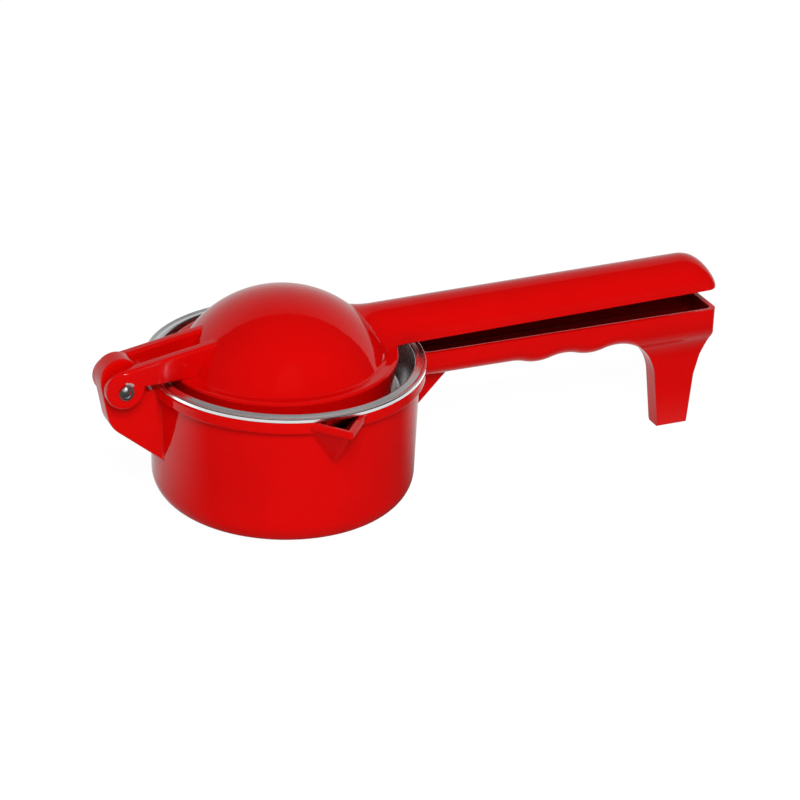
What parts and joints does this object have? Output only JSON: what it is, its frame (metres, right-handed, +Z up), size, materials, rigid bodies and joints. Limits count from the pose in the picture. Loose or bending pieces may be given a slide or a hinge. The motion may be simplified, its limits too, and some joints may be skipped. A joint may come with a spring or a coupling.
{
  "type": "hinged lemon squeezer",
  "caption": "Hinged citrus press: a red enamelled cast bowl with spout, handle and foot, a domed press lever on a pin and a bare metal strainer cup.",
  "frame": {"origin": "centre of the bowl's flat underside, at table height", "axes": "+Z up along the bowl's axis, +X along the handles away from the hinge, -Y towards the spout"},
  "size_m": [0.2527, 0.1175, 0.0814],
  "materials": {
    "base_enamel": "gloss",
    "lever_enamel": "gloss",
    "strainer_metal": "polished",
    "pin_steel": "satin"
  },
  "bodies": {
    "base": {"base_casting": "base_enamel", "strainer": "strainer_metal", "hinge_pin": "pin_steel"},
    "lever": {"press_lever": "lever_enamel"}
  },
  "joints": [
    {"name": "lever_hinge", "type": "hinge", "parent": "base", "child": "lever", "pos_m": [-0.0654, 0, 0.0546], "axis": [0, -1, 0], "range_deg": [0, 180]}
  ]
}
